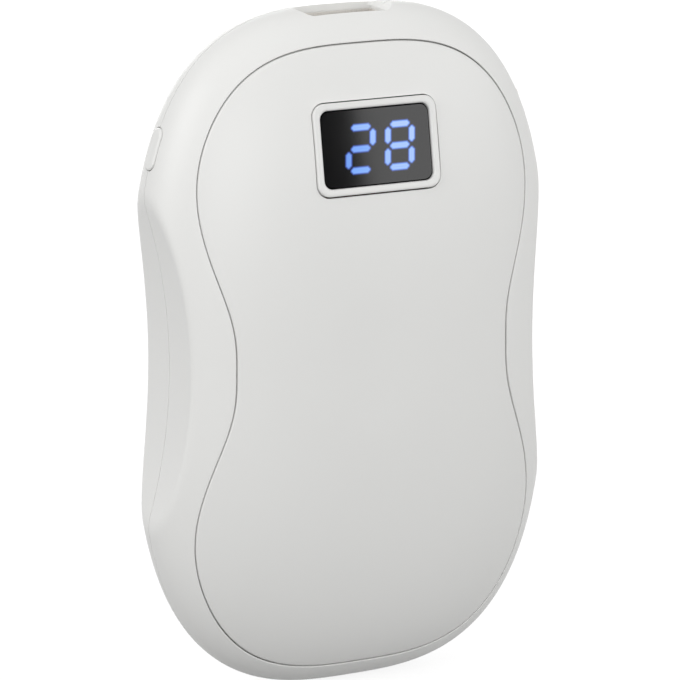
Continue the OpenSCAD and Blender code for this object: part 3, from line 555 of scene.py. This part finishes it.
# The finish of each of the record's material slots: what the real piece is made of, and how
FINISH_MAKERS = {
    # White ABS from an eroded mould: satin, with a grain that only softens the light
    "shell_plastic": lambda look: moulded_plastic(
        "abs_shell_moulded", look.shell_colour, 0.42, 0.35, 0.004, ABS_IOR),
    # The same ABS from a smoother mould: a little glossier than the shell round it
    "button_plastic": lambda look: moulded_plastic(
        "abs_button_moulded", look.shell_colour, 0.38, 0.35, 0.003, ABS_IOR),
    # White ABS from a finely eroded mould: an even satin face
    "panel_plastic": lambda look: moulded_plastic(
        "abs_panel_moulded", look.panel_colour, 0.4, 0.35, 0.004, ABS_IOR),
    # White ABS from a polished mould: a smooth ring that catches the light
    "bezel_plastic": lambda look: moulded_plastic(
        "abs_bezel_polished", look.bezel_colour, 0.32, 0.6, 0.001, ABS_IOR),
    # Cast acrylic, tinted and coated: almost black, with a dim reflection
    "smoked_window": lambda look: smoked_acrylic("acrylic_window_smoked", look.window_colour),
    # Clear resin over LEDs: blue bars of light that are paler where they are brighter
    "lit_digits": lambda look: lit_segment_resin("resin_segments_lit", look.digit_colour, look.digit_glow),
    # Black PBT of headers and switch: dull, with a coarser grain
    "black_plastic": lambda look: moulded_plastic("pbt_black_moulded", "#232325", 0.5, 0.4, 0.006, PBT_IOR),
    # Glass fibre board under solder mask: green, with tracks that show through its gloss
    "circuit_board": lambda look: solder_mask_board(
        "fibreglass_board_masked", "#226040", "#1A4D31", "#3F8A5C"),
    # Steel screws, zinc plated: bright grey with fine turning lines
    "screw_steel": lambda look: sheet_metal("steel_screw_zinc_plated", "#B9BABD", 0.34, 0.2),
    # Natural nylon: cream and slightly waxy
    "switch_plastic": lambda look: moulded_plastic(
        "nylon_plunger_moulded", "#D8D4C8", 0.45, 0.3, 0.004, NYLON_IOR),
    # Sheet steel, nickel plated: pale and soft, drawn along the socket's depth
    "socket_steel": lambda look: sheet_metal("steel_socket_nickel_plated", "#ECE9E5", 0.5, 0.25, along="Z"),
    # White liquid crystal polymer of the sockets' tongues: dense and matt
    "socket_plastic": lambda look: moulded_plastic("lcp_tongue_moulded", "#EFEFEC", 0.5, 0.3, 0.004),
    # Bronze, gold plated: warm and bright
    "contact_gold": lambda look: sheet_metal("bronze_contact_gold_plated", "#E2BC6A", 0.25, 0.15, along="Z"),
    # Pressed ferrite: dark grey and powdery
    "ferrite": lambda look: moulded_plastic("ferrite_pressed", "#3A3A3C", 0.75, 0.5, 0.02),
    # Aluminium cans, drawn: bright, with fine draw lines
    "capacitor_can": lambda look: sheet_metal("aluminium_can_drawn", "#D6D7D9", 0.28, 0.2),
    # Aluminium laminate pouch: soft silver with a coarse crinkle
    "cell_foil": lambda look: sheet_metal("aluminium_pouch_laminated", "#C9CBCE", 0.4, 1.2),
    # Silicone jacket, extruded: dull red
    "lead_jacket": lambda look: moulded_plastic(
        "silicone_jacket_extruded", "#B02A22", 0.55, 0.3, 0.003, SILICONE_IOR),
    # Aluminium sheet, rolled: pale, with rolling lines
    "spreader_aluminium": lambda look: sheet_metal("aluminium_sheet_rolled", "#D2D4D6", 0.35, 0.4),
    # Polyimide film over an etched track: amber with darker bands
    "heater_film": lambda look: etched_heater_film("polyimide_film_etched", "#B9721F", "#6E3F12"),
    # Closed cell foam, cut from sheet: dark grey and pitted
    "foam": lambda look: closed_cell_foam("foam_closed_cell", "#55575A", "#2C2D2F"),
    # Epoxy bead, dipped: brown and glossy
    "sensor_resin": lambda look: moulded_plastic("epoxy_bead_dipped", "#6B4A2A", 0.3, 0.6, 0.004, EPOXY_IOR),
}
FINISHES = {}


def finish(slot):
    """The material of one slot, made when it is first asked for."""
    if slot not in FINISHES:
        FINISHES[slot] = FINISH_MAKERS[slot](bpy.context.scene.warmer_finish)
    return FINISHES[slot]


# Settings

class WarmerFinish(bpy.types.PropertyGroup):
    """Colours of the pieces that show"""
    shell_colour: bpy.props.StringProperty(
        name="Shell colour", default="#E6E6E4",
        description="sRGB hex colour of the two shells and the button")
    panel_colour: bpy.props.StringProperty(
        name="Panel colour", default="#E4E4E2", description="sRGB hex colour of the heating panels")
    bezel_colour: bpy.props.StringProperty(
        name="Bezel colour", default="#E2E2E0", description="sRGB hex colour of the ring round the display")
    window_colour: bpy.props.StringProperty(
        name="Window colour", default="#080809", description="sRGB hex colour of the smoked window")
    digit_colour: bpy.props.StringProperty(
        name="Digit colour", default="#7EAEFF",
        description="sRGB hex colour of a segment at its usual brightness")
    digit_glow: bpy.props.FloatProperty(
        name="Digit glow", default=1.0, min=0.0, description="Strength of the light that the digits give")


class WarmerShape(bpy.types.PropertyGroup):
    """Fine sizes that only the looks have"""
    facets: bpy.props.IntProperty(
        name="Facets", default=480, min=96, description="Points round each formed piece")
    seam_gap: bpy.props.FloatProperty(
        name="Panel seam", default=0.2 * MM, subtype="DISTANCE", unit="LENGTH",
        description="Width of the seam round each panel")
    edge_round: bpy.props.FloatProperty(
        name="Edge rounding", default=0.24 * MM, subtype="DISTANCE", unit="LENGTH",
        description="Rounding of the edges on both sides of a seam")
    parting_gap: bpy.props.FloatProperty(
        name="Parting line", default=0.14 * MM, subtype="DISTANCE", unit="LENGTH",
        description="Width of the line between the two shells")
    digit_lean: bpy.props.FloatProperty(
        name="Digit lean", default=math.radians(5), subtype="ANGLE", unit="ROTATION",
        description="How far the digits lean to the right")


class WarmerStudio(bpy.types.PropertyGroup):
    """Floor and light"""
    floor_colour: bpy.props.StringProperty(
        name="Floor colour", default="#727272", description="sRGB hex colour of the floor")
    front_light: bpy.props.FloatProperty(
        name="Front light", default=2.28, min=0.0, unit="POWER",
        description="Power of the large lamp in front")
    left_light: bpy.props.FloatProperty(
        name="Left light", default=1.9, min=0.0, unit="POWER",
        description="Power of the large lamp on the left")
    right_light: bpy.props.FloatProperty(
        name="Right light", default=1.0, min=0.0, unit="POWER",
        description="Power of the large lamp on the right")
    back_light: bpy.props.FloatProperty(
        name="Back light", default=1.6, min=0.0, unit="POWER",
        description="Power of the large lamp behind")
    window_light: bpy.props.FloatProperty(
        name="Window light", default=0.26, min=0.0, unit="POWER",
        description="Power of the small lamp that shows in the window")
    sky: bpy.props.FloatProperty(
        name="Sky", default=0.63, min=0.0, description="Strength of the even light from all round")


# Shells and panels

def hollow_ring(angles, share):
    """Ring of a shell's inner wall, a share of the way from the ledge to the parting plane."""
    turn = math.radians(90 * share)
    ring = []
    for angle in angles:
        inner, outer = panel_r(angle), body_r(angle) - WALL
        r = inner + (outer - inner) * math.sin(turn)
        y = -(dome(angle, inner) - PANEL_T - LEDGE_T) * math.cos(turn)
        ring.append(scooped((r * math.cos(angle), y, r * math.sin(angle)), WALL))
    return ring


def parting_rings(angles, half):
    """Rings of the parting line: the closed back of its groove, its wall and its rounded lip."""
    profile = [(WALL, TOUCH), (GROOVE_DEPTH, TOUCH), (GROOVE_DEPTH - TOUCH, half), (GROOVE_WALL, half)]
    for a in quarter(GROOVE_STEPS):
        profile.append((GROOVE_LIP * (1 - math.sin(a)), half + GROOVE_LIP * (1 - math.cos(a))))
    rings = []
    for inset, y in profile:
        radii = [body_r(angle) - inset for angle in angles]
        rings.append([scooped((r * math.cos(angle), -y, r * math.sin(angle)), inset)
                      for angle, r in zip(angles, radii)])
    return rings


def skin_rings(angles, opening, half, lip):
    """Rings of the domed skin, from the parting line to the rounded lip at the panel's seam."""
    edge = (2 * (half + GROOVE_LIP) / BODY_T) ** DOME_FULL
    first = math.acos((1 - edge) ** (1 / DOME_FLAT))
    lasts = [math.acos((r + lip) / body_r(angle)) for angle, r in zip(angles, opening)]
    rings = []
    for i in range(1, SKIN_RINGS + 1):
        share = (i / SKIN_RINGS) ** SKIN_CROWD
        radii = [math.cos(first + (last - first) * share) * body_r(angle)
                 for angle, last in zip(angles, lasts)]
        rings.append([scooped(face_point(angle, r, 0)) for angle, r in zip(angles, radii)])
    for a in quarter(LIP_STEPS)[1:]:
        inset, drop = lip * (1 - math.sin(a)), lip * (1 - math.cos(a))
        rings.append([face_point(angle, r + inset, drop) for angle, r in zip(angles, opening)])
    return rings


def mirrored(rings):
    """The same rings on the back half of the body."""
    return [[(x, -y, z) for x, y, z in ring] for ring in rings]


def shell_object(name, side, shape):
    """One shell: ledge, inner wall, parting line, domed skin and rounded lip at the seam."""
    angles = directions(shape.facets)
    lip, half = shape.edge_round / MM, shape.parting_gap / MM / 2
    seam = shape.seam_gap / MM
    opening = [panel_r(angle) + seam * (1 + SEAM_LEAN * math.cos(angle)) for angle in angles]
    rings = [[face_point(angle, panel_r(angle) - LEDGE_W, PANEL_T + LEDGE_T) for angle in angles]]
    rings += [hollow_ring(angles, share) for share in HOLLOW_SHARES]
    rings += parting_rings(angles, half)
    rings += skin_rings(angles, opening, half, lip)
    rings.append([face_point(angle, r, PANEL_T + SEAT) for angle, r in zip(angles, opening)])
    rings.append([face_point(angle, panel_r(angle) - LEDGE_W, PANEL_T + SEAT) for angle in angles])
    if side > 0:
        rings = mirrored(rings)
    obj = make_object(name, *ring_mesh(rings, closed=True))
    mark_sharp(obj)
    return obj


def panel_object(name, side, shape):
    """Domed panel with a rounded rim, a wall down into the seam and a plain back."""
    angles = directions(shape.facets)
    rim = shape.edge_round / MM
    top = PANEL_FLAT - BODY_T / 2
    rings = []
    for a in quarter(PANEL_RINGS)[1:-1]:
        face = [face_point(angle, (panel_r(angle) - rim) * math.sin(a), 0) for angle in angles]
        rings.append([(x, max(y, top), z) for x, y, z in face])
    for a in quarter(LIP_STEPS):
        inset, drop = rim * (1 - math.sin(a)), rim * (1 - math.cos(a))
        rings.append([face_point(angle, panel_r(angle) - inset, drop) for angle in angles])
    for share in PANEL_BACK_SHARES:
        rings.append([face_point(angle, panel_r(angle) * share, PANEL_T) for angle in angles])
    mids = [(0, top, 0), (0, PANEL_T - BODY_T / 2, 0)]
    if side > 0:
        rings = mirrored(rings)
        mids = mirrored([mids])[0]
    obj = make_object(name, *disc_mesh(rings, *mids))
    mark_sharp(obj)
    return obj


def side_ring(x, w, h, r, steps=SMALL_CORNER_STEPS):
    """Rounded outline in a plane square to X, at the height of the button and the charging socket."""
    return [(x, v, BUTTON_Z + u) for u, v in rounded_outline(w, h, r, steps)]


def socket_cutters():
    """The lead-in and bore of the output socket, and the bores of the charging socket and the button."""
    gap = 2 * (SOCKET_SHEET + SOCKET_GAP)
    slot = rounded_outline(OUTPUT_W + gap, OUTPUT_H + gap, SLOT_CORNER, SMALL_CORNER_STEPS)
    slot_rings = [[(u, v, OUTPUT_MOUTH + rise) for u, v in slot] for rise in (-SLOT_DEPTH, SLOT_OVERRUN)]
    depth = OUTPUT_H + 2 * SOCKET_SHEET + RECESS_FRONT + RECESS_BACK
    back = (RECESS_BACK - RECESS_FRONT) / 2
    recess_rings = []
    for rise, out in LEAD_IN:
        length = OUTPUT_W + 2 * SOCKET_SHEET + 2 * out
        outline = rounded_outline(length, depth, RECESS_CORNER, SMALL_CORNER_STEPS)
        recess_rings.append([(u, v + back, OUTPUT_MOUTH + rise) for u, v in outline])
    charge_rings = [side_ring(x, CHARGE_W + gap, CHARGE_H + gap, CHARGE_H, FINE_CORNER_STEPS)
                    for x in CHARGE_CUT]
    button_rings = [side_ring(x, BUTTON_L + 2 * BUTTON_GAP, BUTTON_W + 2 * BUTTON_GAP, BUTTON_R + BUTTON_GAP)
                    for x in BUTTON_CUT]
    cutters = {"slot_cutter": slot_rings, "recess_cutter": recess_rings, "charge_cutter": charge_rings,
               "button_cutter": button_rings}
    return [make_object(name, *ring_mesh(rings)) for name, rings in cutters.items()]


class WARMER_OT_shells(bpy.types.Operator):
    """Builds the two shells with their parting line and socket openings"""
    bl_idname = "warmer.shells"
    bl_label = "Shells"

    def execute(self, context):
        for side, node in ((-1, "front_shell"), (1, "back_shell")):
            obj = shell_object(node + "_skin", side, context.scene.warmer_shape)
            cut(obj, socket_cutters())
            place(obj, "shell_plastic", [node])
        return {"FINISHED"}


class WARMER_OT_panels(bpy.types.Operator):
    """Builds the front and back heating panels"""
    bl_idname = "warmer.panels"
    bl_label = "Heating panels"

    def execute(self, context):
        front = panel_object("front_panel_skin", -1, context.scene.warmer_shape)
        outline = rounded_outline(BEZEL_W + 2 * POCKET_GAP, BEZEL_H + 2 * POCKET_GAP, BEZEL_R + POCKET_GAP,
                                  CORNER_STEPS)
        shifted = [(u + POCKET_RIGHT, v - POCKET_DOWN) for u, v in outline]
        pocket = [on_display(shifted, depth) for depth in POCKET_CUT]
        cut(front, [make_object("pocket_cutter", *ring_mesh(pocket))])
        place(front, "panel_plastic", ["front_panel"])
        back = panel_object("back_panel_skin", 1, context.scene.warmer_shape)
        place(back, "panel_plastic", ["back_panel"])
        return {"FINISHED"}


# Display

def on_display(points, depth):
    """Points (u right, v up) in the display's plane, at a depth behind the panel's face."""
    tilt = Matrix.Rotation(-DISPLAY_TILT, 4, "X")
    plane = Matrix.Translation((DISPLAY_X, -DISPLAY_DEPTH, DISPLAY_Z)) @ tilt
    return [tuple(plane @ Vector((u, depth, v))) for u, v in points]


def bezel_object():
    """Ring with rounded edges whose inner side slopes down to the window."""
    profile = [(0.0, PANEL_T)]
    for a in reversed(quarter(EDGE_STEPS)):
        drop = BEZEL_OUTER_ROUND * (1 - math.cos(a))
        profile.append((BEZEL_OUTER_ROUND * (1 - math.sin(a)), drop - BEZEL_PROUD))
    for a in quarter(LIP_STEPS):
        inset = BEZEL_BAND - BEZEL_INNER_ROUND + BEZEL_INNER_ROUND * math.sin(a)
        drop = BEZEL_INNER_ROUND * (1 - math.cos(a))
        profile.append((inset, drop - BEZEL_PROUD))
    profile.append((BEZEL_BAND, PANEL_T))
    rings = []
    for inset, depth in profile:
        corner = BEZEL_R - BEZEL_CORNER_SHARE * inset
        outline = rounded_outline(BEZEL_W - 2 * inset, BEZEL_H - 2 * inset, corner, FINE_CORNER_STEPS)
        rings.append(on_display(outline, depth))
    obj = make_object("display_bezel_ring", *ring_mesh(rings, closed=True))
    mark_sharp(obj, SHARP_RING)
    return obj


def window_object():
    """Window with a thin polished chamfer round its front edge."""
    w = BEZEL_W - 2 * BEZEL_BAND - SEAT
    h = BEZEL_H - 2 * BEZEL_BAND - SEAT
    top = LENS_RECESS - BEZEL_PROUD
    profile = ((LENS_MARGIN, top), (LENS_CHAMFER, top), (0.0, top + LENS_CHAMFER), (0.0, top + LENS_T),
               (LENS_MARGIN, top + LENS_T))
    rings = []
    for inset, depth in profile:
        corner = BEZEL_R - BEZEL_BAND / 2 - inset / 2
        outline = rounded_outline(w - 2 * inset, h - 2 * inset, corner, CORNER_STEPS)
        rings.append(on_display(outline, depth))
    obj = make_object("display_window", *ring_mesh(rings))
    mark_sharp(obj, SHARP_WINDOW)
    return obj


def segment_outline(start, end):
    """Bar of one segment with blunt pointed tips."""
    along = (end - start).normalized()
    across = Vector((-along.y, along.x)) * SEGMENT_W / 2
    tip = along * SEGMENT_W / 2
    start = start + along * SEGMENT_END
    end = end - along * SEGMENT_END
    return [start + (tip - across) * TIP_SHARE, start + (tip + across) * TIP_SHARE,
            start + tip + across, end - tip + across,
            end + (across - tip) * TIP_SHARE, end - (across + tip) * TIP_SHARE,
            end - tip - across, start + tip - across]


def digits_object(lean):
    """Segments of both digits, each a bright core that fades out in a halo round it."""
    half_w, half_h = (DIGIT_W - SEGMENT_W) / 2, (DIGIT_H - SEGMENT_W) / 2
    corners = [Vector((u * half_w, v * half_h)) for u, v in DIGIT_CORNERS]
    depth = LENS_RECESS - BEZEL_PROUD - DIGIT_PROUD
    verts, faces, glow = [], [], []
    for side, lit in LIT_SEGMENTS.items():
        for index, brightness in lit.items():
            start, end = (corners[i] for i in SEGMENTS[index])
            outline = segment_outline(start, end)
            rings = []
            for grow, share in GLOW_RINGS:
                ring = [(p.x + p.y * math.tan(lean) + side * DIGIT_PITCH / 2 + DIGIT_SHIFT, p.y - DIGIT_DROP)
                        for p in grown(outline, grow)]
                rings.append(on_display(ring, depth))
                glow += [share * brightness] * len(ring)
            bar_verts, bar_faces = ring_mesh(rings, caps=False)
            bar_faces.append(tuple(range(len(outline))))
            faces += [tuple(len(verts) + i for i in face) for face in bar_faces]
            verts += bar_verts
    obj = make_object("display_segments", verts, faces)
    obj.data.attributes.new("glow", "FLOAT", "POINT").data.foreach_set("value", glow)
    return obj


class WARMER_OT_display(bpy.types.Operator):
    """Builds the display's ring, its smoked window and the lit digits"""
    bl_idname = "warmer.display"
    bl_label = "Display"

    def execute(self, context):
        place(bezel_object(), "bezel_plastic", ["display_bezel"])
        place(window_object(), "smoked_window", ["display_lens"])
        place(digits_object(context.scene.warmer_shape.digit_lean), "lit_digits", ["display_digits"])
        return {"FINISHED"}


# Button

def cap_ring(inset, drop):
    """Outline of the cap, which follows the slope of the body's side."""
    corner = BUTTON_R - inset * BUTTON_CORNER_SHARE
    ring = []
    for u, v in rounded_outline(BUTTON_L - 2 * inset, BUTTON_W - 2 * inset, corner, SMALL_CORNER_STEPS):
        x = side_x(BUTTON_Z) + BUTTON_PROUD - math.tan(BUTTON_TILT) * u - drop
        ring.append((-x, v, BUTTON_Z + u))
    return ring


def button_object():
    """Cap with rounded edges, a flange inside the wall and a stem as long as the CAD node's."""
    rings = [cap_ring(inset, 0.0) for inset in CAP_INSETS]
    for a in quarter(LIP_STEPS):
        rings.append(cap_ring(BUTTON_EDGE * (1 - math.sin(a)), BUTTON_EDGE * (1 - math.cos(a))))
    flange_x = side_x(BUTTON_Z + BUTTON_L / 2 + FLANGE_W) - WALL - FLANGE_GAP
    for grow, x in ((0.0, flange_x), (FLANGE_W, flange_x), (FLANGE_W, flange_x - FLANGE_T)):
        rings.append(side_ring(-x, BUTTON_L + 2 * grow, BUTTON_W + 2 * grow, BUTTON_R + grow))
    stem_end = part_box("power_button")[1][0] / MM
    for x in (FLANGE_T - flange_x, stem_end):
        rings.append(side_ring(x, STEM_D, STEM_D, STEM_D / 2))
    obj = make_object("power_button_cap", *ring_mesh(rings))
    mark_sharp(obj)
    return obj


class WARMER_OT_button(bpy.types.Operator):
    """Builds the power button with its rounded cap, flange and stem"""
    bl_idname = "warmer.button"
    bl_label = "Power button"

    def execute(self, context):
        place(button_object(), "button_plastic", ["power_button"], body="power_button")
        return {"FINISHED"}


class WARMER_OT_carried(bpy.types.Operator):
    """Gives every CAD piece that stays its real finish"""
    bl_idname = "warmer.carried"
    bl_label = "Carried pieces"

    def execute(self, context):
        slots = {part["node"]: part["material_slot"] for part in frame["record"]["subparts"]}
        for node, obj in frame["nodes"].items():
            material = finish(slots[node])
            for holder in obj.material_slots:
                holder.material = material
        return {"FINISHED"}


# Stage

def seen_directly(tree):
    """1 for camera, glossy and transmission rays, so that only they see the white background."""
    rays = add_node(tree, "ShaderNodeLightPath")
    camera, glossy = rays.outputs["Is Camera Ray"], rays.outputs["Is Glossy Ray"]
    either = add_node(tree, "ShaderNodeMath", links={0: camera, 1: glossy}, operation="MAXIMUM")
    seen = add_node(tree, "ShaderNodeMath", operation="MAXIMUM",
                    links={0: either.outputs[0], 1: rays.outputs["Is Transmission Ray"]})
    return seen.outputs[0]


def build_floor(studio):
    """Matt paper floor just under the lowest point, white to the camera apart from the shadow."""
    half = FLOOR_HALF
    z = cad_box[0][2] / MM - FLOOR_GAP
    corners = [(-half, -half, z), (half, -half, z), (half, half, z), (-half, half, z)]
    floor = make_object("studio_floor", corners, [(0, 1, 2, 3)])
    if floor.data.polygons[0].normal.z < 0:
        floor.data.flip_normals()
    mat, tree, bsdf = new_material("paper_backdrop_matt")
    bsdf.inputs["Base Color"].default_value = linear(studio.floor_colour)
    bsdf.inputs["Roughness"].default_value = 0.9
    lift = add_node(tree, "ShaderNodeMath", {1: FLOOR_LIFT}, {0: seen_directly(tree)}, operation="MULTIPLY")
    glow = add_node(tree, "ShaderNodeEmission", {"Color": (1, 1, 1, 1)}, {"Strength": lift.outputs[0]})
    both = add_node(tree, "ShaderNodeAddShader", links={0: bsdf.outputs[0], 1: glow.outputs[0]})
    tree.links.new(both.outputs[0], tree.nodes["Material Output"].inputs["Surface"])
    floor.data.materials.append(mat)


def area_lamp(name, place_mm, aim_mm, size_mm, power):
    """White rectangular lamp that is aimed at a point."""
    data = bpy.data.lights.new(name, "AREA")
    data.shape = "RECTANGLE"
    data.size, data.size_y = (s * MM for s in size_mm)
    data.energy = power
    lamp = bpy.data.objects.new(name, data)
    lamp.location = Vector(place_mm) * MM
    lamp.rotation_euler = (Vector(aim_mm) * MM - lamp.location).to_track_quat("-Z", "Y").to_euler()
    bpy.context.scene.collection.objects.link(lamp)


def build_lamps(studio):
    """Softboxes round the body, and the small lamp that the window mirrors."""
    for side, spot in SOFTBOXES.items():
        area_lamp(side + "_softbox", spot, (0, 0, 0), SOFTBOX_SIZE, getattr(studio, side + "_light"))
    window = (DISPLAY_X, -DISPLAY_DEPTH, DISPLAY_Z)
    area_lamp("glass_strip", GLASS_STRIP_AT, window, GLASS_STRIP_SIZE, studio.window_light)


def build_sky(studio):
    """Even light from all round, white where it is seen directly."""
    world = bpy.data.worlds.new("studio_sky")
    world.use_nodes = True
    tree = world.node_tree
    background = tree.nodes["Background"]
    background.inputs["Color"].default_value = (1, 1, 1, 1)
    background.inputs["Strength"].default_value = studio.sky
    white = add_node(tree, "ShaderNodeBackground", {"Color": (1, 1, 1, 1), "Strength": 1.0})
    mix = add_node(tree, "ShaderNodeMixShader", links={"Fac": seen_directly(tree)})
    tree.links.new(background.outputs[0], mix.inputs[1])
    tree.links.new(white.outputs[0], mix.inputs[2])
    tree.links.new(mix.outputs[0], tree.nodes["World Output"].inputs["Surface"])
    bpy.context.scene.world = world


def build_camera():
    """Camera at the photograph's place, turned by its yaw, pitch and roll."""
    yaw, pitch, roll = (math.radians(a) for a in (CAMERA_YAW, CAMERA_PITCH, CAMERA_ROLL))
    back = Vector((-math.sin(yaw) * math.cos(pitch), -math.cos(yaw) * math.cos(pitch), math.sin(pitch)))
    right = Vector((math.cos(yaw), -math.sin(yaw), 0))
    up = back.cross(right)
    right_rolled = math.cos(roll) * right - math.sin(roll) * up
    up_rolled = math.sin(roll) * right + math.cos(roll) * up
    data = bpy.data.cameras.new("photo_camera")
    data.sensor_width = SENSOR_MM
    data.lens = CAMERA_FOCAL_PX / FRAME_PX * SENSOR_MM
    data.shift_x = -CAMERA_SHIFT_PX[0] / FRAME_PX
    data.shift_y = -CAMERA_SHIFT_PX[1] / FRAME_PX
    data.clip_start = 0.01
    data.clip_end = 20
    camera = bpy.data.objects.new("photo_camera", data)
    turn = Matrix((right_rolled, up_rolled, back)).transposed().to_4x4()
    spot = (back * CAMERA_DISTANCE + Vector((0, 0, CAMERA_AIM_Z))) * MM
    camera.matrix_world = Matrix.Translation(spot) @ turn
    bpy.context.scene.collection.objects.link(camera)
    bpy.context.scene.camera = camera


class WARMER_OT_stage(bpy.types.Operator):
    """Builds the floor, the soft lamps, the even sky and the photograph's camera"""
    bl_idname = "warmer.stage"
    bl_label = "Stage"

    def execute(self, context):
        studio = context.scene.warmer_studio
        build_floor(studio)
        build_lamps(studio)
        build_sky(studio)
        build_camera()
        context.scene.view_settings.view_transform = "Standard"
        return {"FINISHED"}


# Add-on

class WARMER_PT_panel(bpy.types.Panel):
    """Lists the pieces of the hand warmer and their settings"""
    bl_idname = "WARMER_PT_panel"
    bl_label = "Hand Warmer"
    bl_space_type = "VIEW_3D"
    bl_region_type = "UI"
    bl_category = "Hand Warmer"

    def draw(self, context):
        for name in GROUPS:
            group = getattr(context.scene, name)
            box = self.layout.box()
            for key in group.__annotations__:
                box.prop(group, key)
        for operator in OPERATORS:
            self.layout.operator(operator.bl_idname)


OPERATORS = (WARMER_OT_shells, WARMER_OT_panels, WARMER_OT_display, WARMER_OT_button, WARMER_OT_carried,
             WARMER_OT_stage)
GROUPS = {"warmer_shape": WarmerShape, "warmer_finish": WarmerFinish, "warmer_studio": WarmerStudio}


def register():
    for name, group in GROUPS.items():
        bpy.utils.register_class(group)
        setattr(bpy.types.Scene, name, bpy.props.PointerProperty(type=group))
    for cls in OPERATORS + (WARMER_PT_panel,):
        bpy.utils.register_class(cls)


def unregister():
    for cls in reversed(OPERATORS + (WARMER_PT_panel,)):
        bpy.utils.unregister_class(cls)
    for name, group in GROUPS.items():
        delattr(bpy.types.Scene, name)
        bpy.utils.unregister_class(group)


def main():
    register()
    bpy.ops.warmer.shells()
    bpy.ops.warmer.panels()
    bpy.ops.warmer.display()
    bpy.ops.warmer.button()
    bpy.ops.warmer.carried()
    bpy.ops.warmer.stage()


if __name__ == "__main__":
    main()
